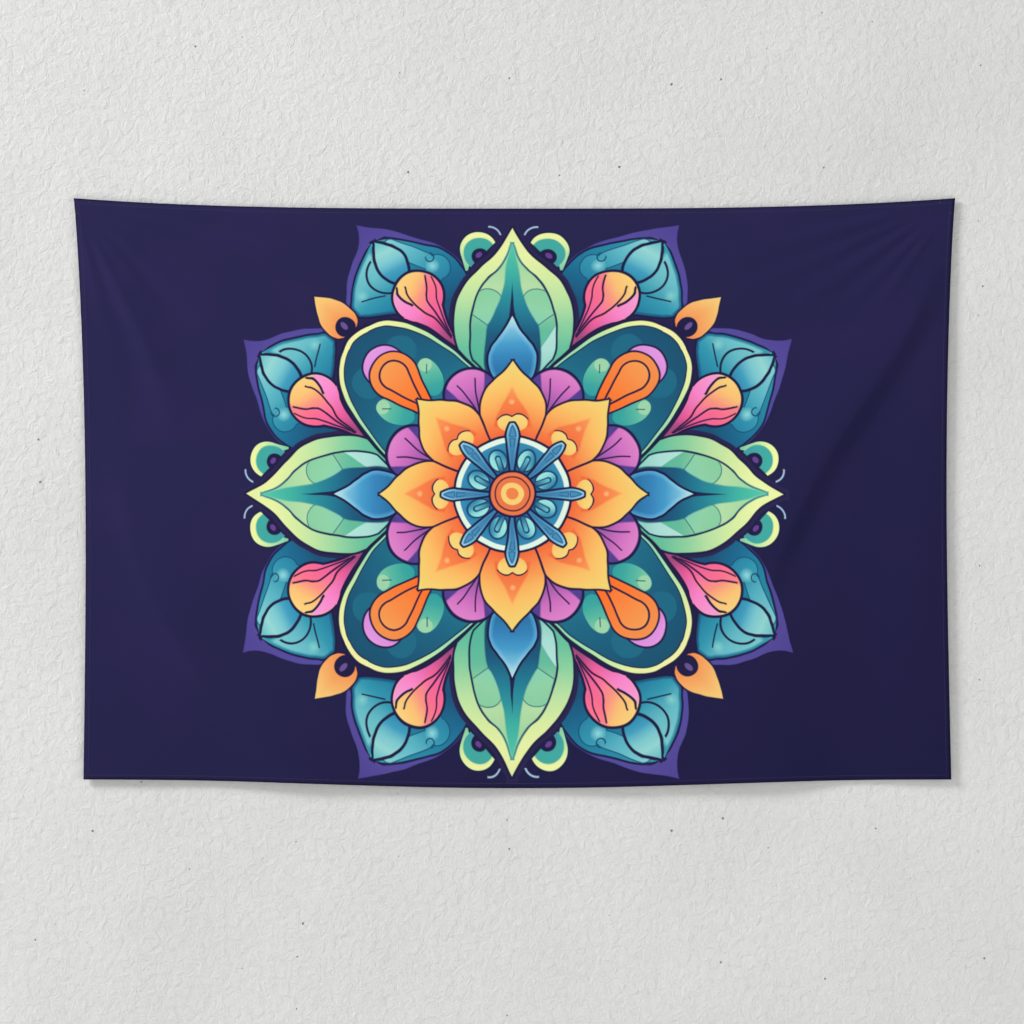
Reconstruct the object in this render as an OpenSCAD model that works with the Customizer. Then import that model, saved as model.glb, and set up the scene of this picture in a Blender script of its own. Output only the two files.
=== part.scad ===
// Printed cloth wall hanging, held flat on a wall by its two top corners.
// Millimetres, +Z up, +X to the right, the printed side faces -Y and the wall's face is the plane y = 0.
// The origin lies midway between the two wall pins, on the wall's face.

/* [Cloth] */
// Width between the bottom corners
cloth_w = 1500; // [900:10:2300]
// Height from a top corner to the bottom corner below it
cloth_h = 1005; // [600:5:1600]
// Thickness of the printed cloth
cloth_t = 0.6; // [0.4:0.1:1.2]

/* [Hang] */
// How far each top corner is drawn out past the bottom corner
corner_flare = 12; // [0:1:30]
// How far the sides pull in between their corners
waist = 12; // [0:1:25]
// How far the middle of the top edge sags below the top corners
sag_top = 18; // [0:1:40]
// How far the middle of the bottom edge hangs below the bottom corners
sag_bottom = 15; // [0:1:40]

/* [Hems] */
// Width of the turned hems
hem_w = 10; // [6:0.5:13]
// Thickness of a hem's folded layers behind the cloth
hem_t = 1.5; // [0.8:0.1:2.4]
// Distance from a hem's inner edge to the middle of its stitching
stitch_in = 2; // [1:0.25:3]
// Width of a row of stitches
stitch_w = 0.8; // [0.5:0.1:1.2]
// How far stitches stand proud of the cloth
stitch_t = 0.3; // [0.2:0.05:0.5]

/* [Corner loops] */
// Width of the tape
tape_w = 8; // [5:0.5:11]
// Thickness of the tape
tape_t = 0.8; // [0.5:0.1:1.4]
// Angle between either leg of a loop and the line from its bend to the pin
loop_half_angle = 66; // [60:1:72]
// Width of the bar tacks
tack_w = 1.6; // [1:0.1:2]

/* [Wall pins] */
// Diameter of a pin's shank, inside the wall
pin_d = 2; // [1.4:0.1:2.4]
// Diameter of the peg that stands out of the wall and stops against it
peg_d = 3; // [2.6:0.1:4]
// Length of a pin inside the wall
pin_grip = 25; // [15:1:40]
// Distance of a pin from the cloth's top edge and from its side edge
pin_in = 17; // [16:0.5:22]
// Gap between the wall and the tape
wall_gap = 3; // [2:0.5:6]
// Room between a peg and the tape that hangs on it
pin_fit = 0.3; // [0.2:0.05:0.6]

/* [Hidden] */

// Depths of the layers, counted from the wall's face towards the viewer
tape_back = wall_gap;
tape_front = tape_back + tape_t;
hem_back = tape_front + stitch_t;
panel_back = hem_back + hem_t;
panel_front = panel_back + cloth_t;
pin_out = (tape_front + panel_back) / 2;

// Hung outline: powers that set how sharply each edge curves
top_power = 3.2;
bottom_power = 2.4;
side_power = 0.8;
edge_steps = 32;
top_half = cloth_w / 2 + corner_flare;
top_z = pin_in;

// Stitching rows, as distances from the cloth's edge
row_from = hem_w - stitch_in - stitch_w / 2;
row_to = row_from + stitch_w;

// Loops: the pin sits in the inner corner of the bend, and each leg ends on the middle of a hem
bend_to_pin = (tape_w / 2 + peg_d / 2 + pin_fit) / sin(loop_half_angle);
bend_in = pin_in - bend_to_pin * cos(45);
leg_rise = loop_half_angle - 45;
reach = 2 * pin_in;
top_slope = (top_z - top_edge(1 - reach / top_half, 0)) / reach;
side_slope = (top_half - half_w(reach / cloth_h)) / reach;
foot_d = min(tape_w / 2, 2 * (row_from - hem_w / 2) - 2);

// A bar tack crosses the tape and stays clear of the hem's edge and its stitching
tack_room = 2.4;
tack_len = 2 * (row_from - hem_w / 2) - tack_room;

// Pins
pin_x = top_half - pin_in;
point_len = 3;
point_d = 0.4;

// Half the cloth's width, a share s of the way down its sides
function half_w(s) = top_half - corner_flare * s - waist * sin(180 * pow(s, side_power));

// Height of the top edge, drop below it, at a share t of the half width
function top_edge(t, drop) = top_z - sag_top * (1 - pow(abs(t), top_power)) - drop;

// Height of the bottom edge, lift above it, at a share t of the half width
function bottom_edge(t, lift) = top_z - cloth_h - sag_bottom * pow(cos(90 * t), bottom_power) + lift;

// Length of a loop's leg that ends on the middle of a hem whose edge falls away at a slope
function leg_for(slope) = (bend_in * (1 - slope) - hem_w / 2) / (sin(leg_rise) + slope * cos(leg_rise));

function shares(a, b) = [for (i = [0:edge_steps]) a + (b - a) * i / edge_steps];

function top_line(drop) = [
  for (t = shares(-1, 1)) [t * half_w(drop / cloth_h), top_edge(t, drop)]
];

function bottom_line(lift) = [
  for (t = shares(1, -1)) [t * half_w(1 - lift / cloth_h), bottom_edge(t, lift)]
];

function side_line(side, inset) = [
  for (s = shares(0, 1)) [side * (half_w(s) - inset), top_z - cloth_h * s]
];

function backwards(line) = [for (i = [len(line) - 1:-1:0]) line[i]];

// A flat shape in the plane of the cloth, from one depth to a deeper one
module layer(from, to) {
  translate([0, -from, 0])
    rotate([90, 0, 0])
      linear_extrude(to - from)
        children();
}

module outline() {
  polygon(concat(
    top_line(0),
    side_line(1, 0),
    bottom_line(0),
    backwards(side_line(-1, 0))
  ));
}

module top_band(from, to) {
  polygon(concat(top_line(from), backwards(top_line(to))));
}

module bottom_band(from, to) {
  polygon(concat(bottom_line(from), backwards(bottom_line(to))));
}

// A band along one side that stops at the inner edges of the top and bottom bands
module side_band(side, from, to) {
  difference() {
    polygon(concat(side_line(side, from), backwards(side_line(side, to))));
    translate([-cloth_w, 0])
      square([2 * cloth_w, cloth_h]);
    top_cut(to);
    bottom_cut(to);
  }
}

// Everything higher than a distance below the top edge
module top_cut(drop) {
  polygon(concat(
    [[-cloth_w, top_z + cloth_h], [-cloth_w, top_edge(1, drop)]],
    top_line(drop),
    [[cloth_w, top_edge(1, drop)], [cloth_w, top_z + cloth_h]]
  ));
}

// Everything lower than a distance above the bottom edge
module bottom_cut(lift) {
  polygon(concat(
    [[cloth_w, top_z - 2 * cloth_h], [cloth_w, bottom_edge(1, lift)]],
    bottom_line(lift),
    [[-cloth_w, bottom_edge(1, lift)], [-cloth_w, top_z - 2 * cloth_h]]
  ));
}

// Each row shows on the back of the hem and on the printed side
module both_faces() {
  layer(tape_front, hem_back) children();
  layer(panel_front, panel_front + stitch_t) children();
}

module printed_panel() {
  color("#26234c")
    layer(panel_back, panel_front)
      outline();
}

module hem_top() {
  color("#26234c")
    layer(hem_back, panel_back)
      top_band(0, hem_w);
}

module hem_bottom() {
  color("#26234c")
    layer(hem_back, panel_back)
      bottom_band(0, hem_w);
}

module hem_side(side) {
  color("#26234c")
    layer(hem_back, panel_back)
      side_band(side, 0, hem_w);
}

module hem_stitching_top() {
  color("#1b1838")
    both_faces()
      top_band(row_from, row_to);
}

module hem_stitching_bottom() {
  color("#1b1838")
    both_faces()
      bottom_band(row_from, row_to);
}

module hem_stitching_side(side) {
  color("#1b1838")
    both_faces()
      side_band(side, row_from, row_to);
}

// The place of a loop's bend
module at_bend(side) {
  translate([side * (top_half - bend_in), top_z - bend_in])
    mirror([side > 0 ? 1 : 0, 0])
      children();
}

// Once for the leg along the top hem and once, mirrored, for the leg along the side hem
module both_legs() {
  let ($leg = leg_for(top_slope))
    children();
  mirror([1, 1])
    let ($leg = leg_for(side_slope))
      children();
}

module corner_loop(side) {
  color("#ece9e0") {
    layer(tape_back, tape_front)
      at_bend(side) {
        circle(d = tape_w, $fn = 48);
        both_legs()
          rotate(leg_rise)
            translate([0, -tape_w / 2])
              square([$leg, tape_w]);
        both_legs()
          rotate(leg_rise)
            translate([$leg, 0])
              circle(d = tape_w, $fn = 48);
      }
    layer(tape_front, hem_back)
      at_bend(side)
        both_legs()
          rotate(leg_rise)
            translate([$leg, 0])
              circle(d = foot_d, $fn = 48);
  }
}

module loop_tacks(side) {
  color("#1b1838")
    for (depth = [tape_back - stitch_t, panel_front])
      layer(depth, depth + stitch_t)
        at_bend(side)
          both_legs()
            rotate(leg_rise)
              translate([$leg - tack_w / 2, -tack_len / 2])
                square([tack_w, tack_len]);
}

// Point, shank and peg on one axis, square to the wall
module wall_pin(side) {
  color("#b9bcc2")
    translate([side * pin_x, pin_grip, 0])
      rotate([90, 0, 0]) {
        cylinder(h = point_len, d1 = point_d, d2 = pin_d, $fn = 48);
        translate([0, 0, point_len])
          cylinder(h = pin_grip - point_len, d = pin_d, $fn = 48);
        translate([0, 0, pin_grip])
          cylinder(h = pin_out, d = peg_d, $fn = 48);
      }
}

printed_panel();
hem_top();
hem_bottom();
hem_side(-1);  // hem_left
hem_side(1);  // hem_right
hem_stitching_top();
hem_stitching_bottom();
hem_stitching_side(-1);  // hem_stitching_left
hem_stitching_side(1);  // hem_stitching_right
corner_loop(-1);  // corner_loop_left
corner_loop(1);  // corner_loop_right
loop_tacks(-1);  // loop_tacks_left
loop_tacks(1);  // loop_tacks_right
wall_pin(-1);  // wall_pin_left
wall_pin(1);  // wall_pin_right
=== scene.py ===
import math

import bpy
import numpy as np
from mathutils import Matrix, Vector


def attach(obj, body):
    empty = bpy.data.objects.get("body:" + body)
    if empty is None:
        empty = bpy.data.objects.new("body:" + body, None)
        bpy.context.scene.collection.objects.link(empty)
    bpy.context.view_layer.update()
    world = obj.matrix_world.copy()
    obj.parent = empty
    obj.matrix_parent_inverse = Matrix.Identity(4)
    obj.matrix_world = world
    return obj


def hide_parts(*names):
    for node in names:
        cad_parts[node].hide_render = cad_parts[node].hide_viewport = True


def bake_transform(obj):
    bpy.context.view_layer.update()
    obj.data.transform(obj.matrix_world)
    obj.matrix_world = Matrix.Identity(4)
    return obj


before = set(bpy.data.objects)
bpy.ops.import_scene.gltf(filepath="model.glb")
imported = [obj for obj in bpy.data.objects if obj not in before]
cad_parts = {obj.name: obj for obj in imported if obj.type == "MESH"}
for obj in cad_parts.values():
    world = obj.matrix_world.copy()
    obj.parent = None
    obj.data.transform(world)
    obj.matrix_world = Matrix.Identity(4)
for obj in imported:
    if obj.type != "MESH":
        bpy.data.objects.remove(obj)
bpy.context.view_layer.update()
print("frame loaded")

# All lengths are metres. The wall's face is y = 0, the printed side faces -Y, and the two pins stand at z = 0.

hanging = {
    "flatWide": 1.5,
    "flatHigh": 1.0,
    "topHalf": 0.762,  # half the top edge between its drawn-out corners
    "topHeight": 0.017,  # height of the top corners over the pins
    "sideHigh": 1.005,
    "flare": 0.012,  # how far the top corners stand out past the bottom ones
    "waist": 0.012,
    "sagTop": 0.018,
    "sagBottom": 0.015,
    "drift": 0.005,  # the lower edge hangs a little to the right
    "clothBack": 0.0056,  # depths from the wall's face
    "clothFront": 0.0062,
    "hemBack": 0.0041,
    "tapeBack": 0.003,
    "tapeFront": 0.0038,
}

# Long folds: the line of the crest as (height, x), its rise, and how wide it is to its left and to its right
longFolds = [
    {"crest": [(0.0, 0.757), (-0.133, 0.716), (-0.211, 0.676), (-0.306, 0.622), (-0.393, 0.553), (-0.496, 0.500), (-0.600, 0.450), (-0.760, 0.400)],
     "rise": 0.0095, "left": 0.085, "right": 0.024, "starts": -0.03, "full": -0.24, "fades": -0.47, "ends": -0.78},
    {"crest": [(0.0, -0.752), (-0.133, -0.722), (-0.300, -0.703), (-0.496, -0.676), (-0.643, -0.638), (-0.755, -0.578), (-0.876, -0.482), (-0.954, -0.396), (-1.0, -0.34)],
     "rise": 0.0062, "left": 0.026, "right": 0.095, "starts": -0.30, "full": -0.74, "fades": -0.88, "ends": -1.02},
    {"crest": [(0.0, 0.760), (-0.20, 0.735), (-0.45, 0.705), (-0.75, 0.690), (-1.0, 0.690)],
     "rise": 0.0035, "left": 0.05, "right": 0.045, "starts": -0.04, "full": -0.35, "fades": -0.6, "ends": -1.1},
    {"crest": [(0.0, -0.755), (-0.11, -0.690), (-0.22, -0.640), (-0.36, -0.595), (-0.50, -0.565)],
     "rise": 0.0045, "left": 0.020, "right": 0.034, "starts": -0.03, "full": -0.15, "fades": -0.24, "ends": -0.46},
    {"crest": [(0.0, 0.25), (-0.55, 0.40), (-0.80, 0.43), (-1.02, 0.44)],
     "rise": 0.006, "left": 0.16, "right": 0.10, "starts": -0.55, "full": -0.9, "fades": -1.1, "ends": -1.3},
]

# Short folds that fan out of a top corner: degrees below the level, how wide in degrees, rise, and how far out they fade
cornerFans = {
    -1: [(7, 3.5, 0.0016, 0.34), (17, 4, 0.0030, 0.30), (29, 4, 0.0034, 0.26), (41, 4.5, 0.0042, 0.30), (53, 3.5, 0.0030, 0.20), (64, 3.5, 0.0034, 0.26), (76, 4, 0.0030, 0.24)],
    1: [(6, 3, 0.0018, 0.36), (15, 3.5, 0.0036, 0.34), (24, 3, 0.0034, 0.30), (34, 3.5, 0.0040, 0.30), (45, 3.5, 0.0036, 0.24), (55, 3, 0.0034, 0.20)],
}


def smooth(value, start, end):
    share = np.clip((value - start) / (end - start), 0.0, 1.0)
    return share * share * (3 - 2 * share)


def relief(x, z):  # how far the cloth stands out from its flattest place
    rise = np.zeros_like(x)
    for fold in longFolds:
        heights, places = zip(*reversed(fold["crest"]))
        middle = sum(np.interp(z + step, heights, places) for step in (-0.06, -0.03, 0, 0.03, 0.06)) / 5
        lean = (sum(np.interp(z + 0.05 + step, heights, places) - np.interp(z - 0.05 + step, heights, places) for step in (-0.03, 0, 0.03)) / 3) / 0.1
        off = (x - middle) / np.hypot(1, lean)
        wide = np.where(off < 0, fold["left"], fold["right"])
        strength = smooth(-z, -fold["starts"], -fold["full"]) * (1 - smooth(-z, -fold["fades"], -fold["ends"]))
        rise += fold["rise"] * strength * np.exp(-(off / wide) ** 2)
    for side, fans in cornerFans.items():
        away, down = hanging["topHalf"] - side * x, hanging["topHeight"] - z
        reach = np.hypot(away, down)
        angle = np.degrees(np.arctan2(down, away))
        for middle, wide, height, far in fans:
            grow = smooth(reach, 0.035, 0.45 * far) * np.exp(-(reach / far) ** 2)
            rise += height * grow * np.exp(-((angle - middle) / wide) ** 2)
    middle = 1 - np.minimum(1, np.abs(x / hanging["topHalf"])) ** 2.5
    low = smooth(-z, 0.1, 1.0)
    rise += 0.0012 * middle * smooth(-z, 0.0, 0.5) * (1 + np.sin(3.1 * x - 2.0 * z + 0.6))
    rise += 0.0016 * low * np.sin(11.0 * x + 2.4 * z + 1.1) * (0.4 + 0.6 * low)
    rise += 0.0009 * low * np.sin(23.0 * x - 4.0 * z)
    rise += 0.0011 * low * (1 - np.tanh(3.0 * (x - 0.25))) - 0.0012 * middle * (1 - low)
    still = smooth(np.hypot(hanging["topHalf"] - np.abs(x), hanging["topHeight"] - z), 0.03, 0.12)
    return np.minimum(rise * still, 0.0106)


def hangPiece(piece):  # from the cloth laid flat, its top edge at z = 0, to the cloth as it hangs
    mesh = piece.data
    flat = np.empty(len(mesh.vertices) * 3)
    mesh.vertices.foreach_get("co", flat)
    x, y, z = flat.reshape(-1, 3).T
    t, s = x / (hanging["flatWide"] / 2), -z / hanging["flatHigh"]
    waist = hanging["waist"] * np.sin(math.pi * np.clip(s, 0, 1) ** 0.8)
    top = hanging["topHeight"] - hanging["sagTop"] * (1 - np.abs(t) ** 3.2)
    low = hanging["topHeight"] - hanging["sideHigh"] - hanging["sagBottom"] * np.abs(np.cos(math.pi / 2 * t)) ** 2.4
    hungX = t * (hanging["topHalf"] - hanging["flare"] * s - waist) + hanging["drift"] * s
    hungZ = top + (low - top) * s
    mesh.vertices.foreach_set("co", np.stack([hungX, y - relief(hungX, hungZ), hungZ], 1).ravel())
    mesh.update()


def selectNone():
    bpy.ops.object.select_all(action="DESELECT")


def named(name):
    piece = bpy.context.object
    piece.name = name
    piece.data.name = name
    return piece


def settle(piece):  # places and turns go into the mesh
    selectNone()
    piece.select_set(True)
    bpy.context.view_layer.objects.active = piece
    bpy.ops.object.transform_apply(location=True, rotation=True, scale=True)


def finishWith(piece, kind, **settings):
    modifier = piece.modifiers.new(kind.title(), kind)
    for name, value in settings.items():
        setattr(modifier, name, value)
    selectNone()
    piece.select_set(True)
    bpy.context.view_layer.objects.active = piece
    bpy.ops.object.modifier_apply(modifier=modifier.name)


def smoothShading(piece, angle=40):
    selectNone()
    piece.select_set(True)
    bpy.context.view_layer.objects.active = piece
    bpy.ops.object.shade_smooth_by_angle(angle=math.radians(angle))


def faceOut(piece):
    selectNone()
    bpy.context.view_layer.objects.active = piece
    bpy.ops.object.mode_set(mode="EDIT")
    bpy.ops.mesh.select_all(action="SELECT")
    bpy.ops.mesh.remove_doubles(threshold=0.000001)
    bpy.ops.mesh.normals_make_consistent(inside=False)
    bpy.ops.object.mode_set(mode="OBJECT")



class Wire:
    def __init__(self, tree, socket):
        self.tree = tree
        self.socket = socket

    def node(self, kind, settings=None, values=None, out=0):
        made = self.tree.nodes.new("ShaderNode" + kind)
        for name, setting in (settings or {}).items():
            if name == "stops":
                setStops(made.color_ramp.elements, setting)
            elif name == "points":
                setPoints(made.mapping, setting)
            else:
                setattr(made, name, setting)
        for key, value in (values or {}).items():
            if isinstance(value, Wire):
                self.tree.links.new(value.socket, made.inputs[key])
            else:
                made.inputs[key].default_value = value
        return Wire(self.tree, made.outputs[out])

    def math(self, operation, other=0.0, third=0.0, clamp=False):
        return self.node("Math", {"operation": operation, "use_clamp": clamp}, {0: self, 1: other, 2: third})

    def __add__(self, other):
        return self.math("ADD", other)

    def __sub__(self, other):
        return self.math("SUBTRACT", other)

    def __mul__(self, other):
        return self.math("MULTIPLY", other)

    def __truediv__(self, other):
        return self.math("DIVIDE", other)

    def __radd__(self, other):
        return self.math("ADD", other)

    def __rmul__(self, other):
        return self.math("MULTIPLY", other)

    def __rsub__(self, other):
        return self.math("MULTIPLY_ADD", -1.0, other)

    def __neg__(self):
        return self.math("MULTIPLY", -1.0)

    def __abs__(self):
        return self.math("ABSOLUTE")

    def least(self, other):
        return self.math("MINIMUM", other)

    def most(self, other):
        return self.math("MAXIMUM", other)


def setStops(stops, chosen):
    while len(stops) > 1:
        stops.remove(stops[-1])
    for i, (position, colour) in enumerate(chosen):
        stop = stops[0] if i == 0 else stops.new(position)
        stop.position = position
        stop.color = colour


def setPoints(mapping, chosen):
    points = mapping.curves[0].points
    for i, (x, y) in enumerate(chosen):
        if i < 2:
            points[i].location = (x, y)
        else:
            points.new(x, y)
    for point in points:
        point.handle_type = "AUTO_CLAMPED"
    mapping.update()


def ink(code):  # a colour from its usual six-figure code
    parts = [int(code[i:i + 2], 16) / 255 for i in (0, 2, 4)]
    return [c / 12.92 if c < 0.04045 else ((c + 0.055) / 1.055) ** 2.4 for c in parts] + [1.0]


# The print is drawn in millimetres from the middle of its medallion, as a printer's separation would be:
# one ink after another, each laid inside a shape that is known by the gap to its edge.

inkBleed = 1.8  # how far one ink runs into the next


def inside(gap, grow=0.0, bleed=inkBleed):  # how much of a place lies within a shape
    return gap.math("MULTIPLY_ADD", -1 / bleed, 0.5 + grow / bleed, clamp=True)


def lay(under, mask, colour):
    colour = ink(colour) if isinstance(colour, str) else colour
    return under.node("Mix", {"data_type": "RGBA"}, {0: mask, 6: under, 7: colour}, 2)


def shade(measure, start, end, *codes):  # a colour that runs through inks between two values of a measure
    share = measure.node("MapRange", {}, {0: measure, 1: start, 2: end})
    stops = [(i / (len(codes) - 1), ink(code)) for i, code in enumerate(codes)]
    return share.node("ValToRGB", {"stops": stops}, {0: share})


def outline(along, points):  # a curve through a few chosen points
    first, last = points[0][0], points[-1][0]
    high = max(max(y for x, y in points), 0.001)
    low = min(min(y for x, y in points), 0.0)
    share = along.math("MULTIPLY_ADD", 1 / (last - first), -first / (last - first), clamp=True)
    norm = [((x - first) / (last - first), (y - low) / (high - low)) for x, y in points]
    curve = share.node("FloatCurve", {"points": norm}, {1: share})
    return curve.math("MULTIPLY_ADD", high - low, low)


def aside(along, across, points):  # gap from a curve, square to it
    here = outline(along, points)
    slope = (outline(along + 3.0, points) - here) * 0.333
    return (across - here) * slope.math("MULTIPLY_ADD", slope, 1.0).math("INVERSE_SQRT")


def between(gap, along, points):
    return gap.most(along - points[-1][0]).most(points[0][0] - along)


def edge(along, across, points):  # gap to a shape whose half width is drawn by a curve
    return between(aside(along, across, points), along, points)


def stroke(along, across, points):  # gap from a drawn line
    return between(abs(aside(along, across, points)), along, points)


def taper(along, across, start, end):  # gap to a straight-sided shape, from the half widths at its two ends
    lean = (end[1] - start[1]) / (end[0] - start[0])
    gap = (across - along.math("MULTIPLY_ADD", lean, start[1] - start[0] * lean)) * (1 + lean * lean) ** -0.5
    return gap.most(along - end[0]).most(start[0] - along)


def pair(a, b):
    return a.node("CombineXYZ", {}, {0: a, 1: b})


def split(spot):
    return spot.node("SeparateXYZ", {}, {0: spot}), spot.node("SeparateXYZ", {}, {0: spot}, 1)


def disc(spot, at, radius):  # gap to a circle
    return spot.node("VectorMath", {"operation": "DISTANCE"}, {0: spot, 1: (at[0], at[1], 0)}, 1) - radius


def oval(spot, at, angle, halfLong, halfWide):
    turned = spot.node("Mapping", {"vector_type": "TEXTURE"}, {
        0: spot, 1: (at[0], at[1], 0), 2: (0, 0, math.radians(angle)), 3: (halfLong, halfWide, 1)})
    return (turned.node("VectorMath", {"operation": "LENGTH"}, {0: turned}, 1) - 1.0) * math.sqrt(halfLong * halfWide)


def turnedAt(spot, at, angle):  # the place seen from a line that leaves a point at an angle
    return spot.node("Mapping", {"vector_type": "TEXTURE"}, {0: spot, 1: (at[0], at[1], 0), 2: (0, 0, math.radians(angle))})


def bar(spot, start, end):  # gap from a short straight line
    run = (end[0] - start[0], end[1] - start[1])
    along, across = split(turnedAt(spot, start, math.degrees(math.atan2(run[1], run[0]))))
    past = (along - math.hypot(*run)).most(-along).most(0.0)
    ends = pair(past, across)
    return ends.node("VectorMath", {"operation": "LENGTH"}, {0: ends}, 1)


def upright(spot):  # along and across the nearest upright or level axis
    x, y = split(spot)
    ax, ay = abs(x), abs(y)
    return ax.most(ay), ax.least(ay)


def folds(spot):  # the same, and along and across the nearest diagonal
    u, v = upright(spot)
    return u, v, (u + v) * math.sqrt(0.5), (u - v) * math.sqrt(0.5)


def eighths(spot):  # along and across the nearest of eight petals, then along and away from the line between two
    u, v, w, q = folds(spot)
    near, far = u.most(w), v.least(q)
    return near, far, near * 0.9239 + far * 0.3827, near * 0.3827 - far * 0.9239


def motif(under, spot, name, draw):  # each part of the print is a node group of its own
    if name not in bpy.data.node_groups:
        group = bpy.data.node_groups.new(name, "ShaderNodeTree")
        group.interface.new_socket("Under", in_out="INPUT", socket_type="NodeSocketColor")
        group.interface.new_socket("Place", in_out="INPUT", socket_type="NodeSocketVector")
        group.interface.new_socket("Printed", in_out="OUTPUT", socket_type="NodeSocketColor")
        entry, leaving = group.nodes.new("NodeGroupInput"), group.nodes.new("NodeGroupOutput")
        drawn = draw(Wire(group, entry.outputs[0]), Wire(group, entry.outputs[1]))
        group.links.new(drawn.socket, leaving.inputs[0])
    return under.node("Group", {"node_tree": bpy.data.node_groups[name]}, {0: under, 1: spot})


printInks = {"line": "1c1842", "soft": "26214c", "plum": "251840"}

leafShape = [(204, 36), (216, 62), (233, 85), (251, 93), (285, 100), (320, 98), (354, 86), (389, 57), (423, 22), (460, 0)]


def leafGap(u, v, q):
    return edge(u, v, leafShape).most(112 - q)


def cornerPetals(tint, spot):
    u, v = upright(spot)
    local = turnedAt(pair(u, v), (254, 97), 39)
    a, b = split(local)
    rim = edge(a, b, [(90, 10), (113, 48), (131, 78), (142, 93), (150, 100), (162, 103), (194, 86), (222, 54), (241, 22), (259, 6), (271, 0)])
    rim = rim.most(edge(a, -b, [(60, 60), (85, 92), (110, 98.5), (148, 90), (187, 67), (226, 40), (259, 10), (271, 0)]))
    body = aside(a, b, [(90, 10), (113, 48), (131, 78), (142, 92), (149, 97), (161, 97), (179, 84), (197, 65), (212, 43), (223, 21), (232, 0)])
    body = body.most(aside(a, -b, [(60, 60), (85, 91), (110, 94), (139, 89), (173, 66), (206, 39), (223, 20), (232, 0)])).most(a - 232)
    tint = lay(tint, inside(rim), shade(a, 130, 271, "44499a", "4f4a9b", "544896", "4b4190"))
    tint = lay(tint, inside(body, 3.6), printInks["line"])
    tint = lay(tint, inside(body), shade(a - b * 0.35, 85, 245, "154f73", "17648a", "1c7a99", "2889a3", "46a5b4"))
    # rounded panel towards the near axis, with a curl and a pale spot
    panel = disc(local, (128, -62), 21).least(bar(local, (150, -54), (206, -20)) - 13.0).least(disc(local, (118, -48), 13))
    tint = lay(tint, inside(panel, 1.8), "184a70")
    tint = lay(tint, inside(panel), shade(a, 105, 215, "2380a0", "3497ae", "5fb7c4", "7fcbd0"))
    tint = lay(tint, inside(disc(local, (136, -57), 7), 0, 12), "86d2d6")
    curl = abs(disc(local, (150, -63), 7)).most(a - 154)
    tint = lay(tint, inside(curl, 1.2), "15476b")
    # sheen, folds and a dash on the other side
    sheen = inside(body, -4, 4) * b.math("MULTIPLY_ADD", 0.14, -1.6, clamp=True)
    tint = lay(tint, sheen, shade(a, 118, 215, "1f7c9d", "3297ae", "66bac4", "79c7ca"))
    tint = lay(tint, inside(disc(local, (170, 70), 6), 0, 12), "80cdc9")
    tint = lay(tint, inside(abs(disc(local, (175, 14), 34)).most(24 - b), 2.0), printInks["line"])
    tint = lay(tint, inside(bar(local, (163, 76), (146, 40)), 1.3), printInks["line"])
    # drop at the heart of the petal
    drop = edge(a, abs(b + 4), [(150, 10), (157, 16), (168, 21), (183, 24), (200, 20), (215, 11), (229, 0)])
    tint = lay(tint, inside(drop, 5.3), printInks["line"])
    tint = lay(tint, inside(drop), shade(a - b * 0.2, 152, 226, "2b86ae", "3f9dbb", "79c6cd", "93d4d0", "6cc0c6"))
    return tint


def flames(tint, spot):
    u, v, w, q = folds(spot)
    sloped = pair(w, q)
    flame = edge(w, q, [(396, 15), (405, 25), (419, 29), (436, 28), (454, 20), (470, 9), (482, 0)])
    flame = flame.most(-disc(sloped, (408, 0), 18))
    tint = lay(tint, inside(disc(sloped, (406, 0), 21), 0, 4), printInks["line"])
    tint = lay(tint, inside(flame, 3.0), printInks["line"])
    tint = lay(tint, inside(flame), shade(w + q * 0.6, 400, 478, "f58745", "f39a57", "f4b067", "f5cd78"))
    return lay(tint, inside(oval(sloped, (411, 0), 0, 8, 4.5)), "67508f")


def hooks(tint, spot):
    u, v, w, q = folds(spot)
    folded = pair(u, v)
    leaf = leafGap(u, v, q)
    ring = disc(folded, (421.5, 58.7), 31).most((465.5 - u - v) * 0.707)
    tail = taper(414.0 - u, abs(v - 79.3), (0, 9.6), (27, 1.5))
    hook = ring.least(tail).most(-disc(folded, (410, 56), 14.5))
    tint = lay(tint, inside(disc(folded, (408, 55), 19), 0, 4), printInks["line"])
    tint = lay(tint, inside(hook, 2.6), printInks["line"])
    tint = lay(tint, inside(hook), shade(u, 390, 440, "3f93a6", "3fa59e", "3fa79c"))
    tint = lay(tint, inside(hook) * inside(-disc(folded, (416, 57), 27), 0, 2.4), shade(u, 388, 446, "7fcaa2", "a5dba3", "d6eca2", "ecf3a2"))
    tint = lay(tint, inside(oval(folded, (413, 58), -50, 6, 4)), "62408c")
    tick = abs(disc(folded, (441.5, 40.2), 20.7)).most(450 - u).most(v - 41)
    tint = lay(tint, inside(tick, 1.3), "a4bfdc")
    return lay(tint, inside(leaf, 10.0), printInks["soft"])


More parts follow.
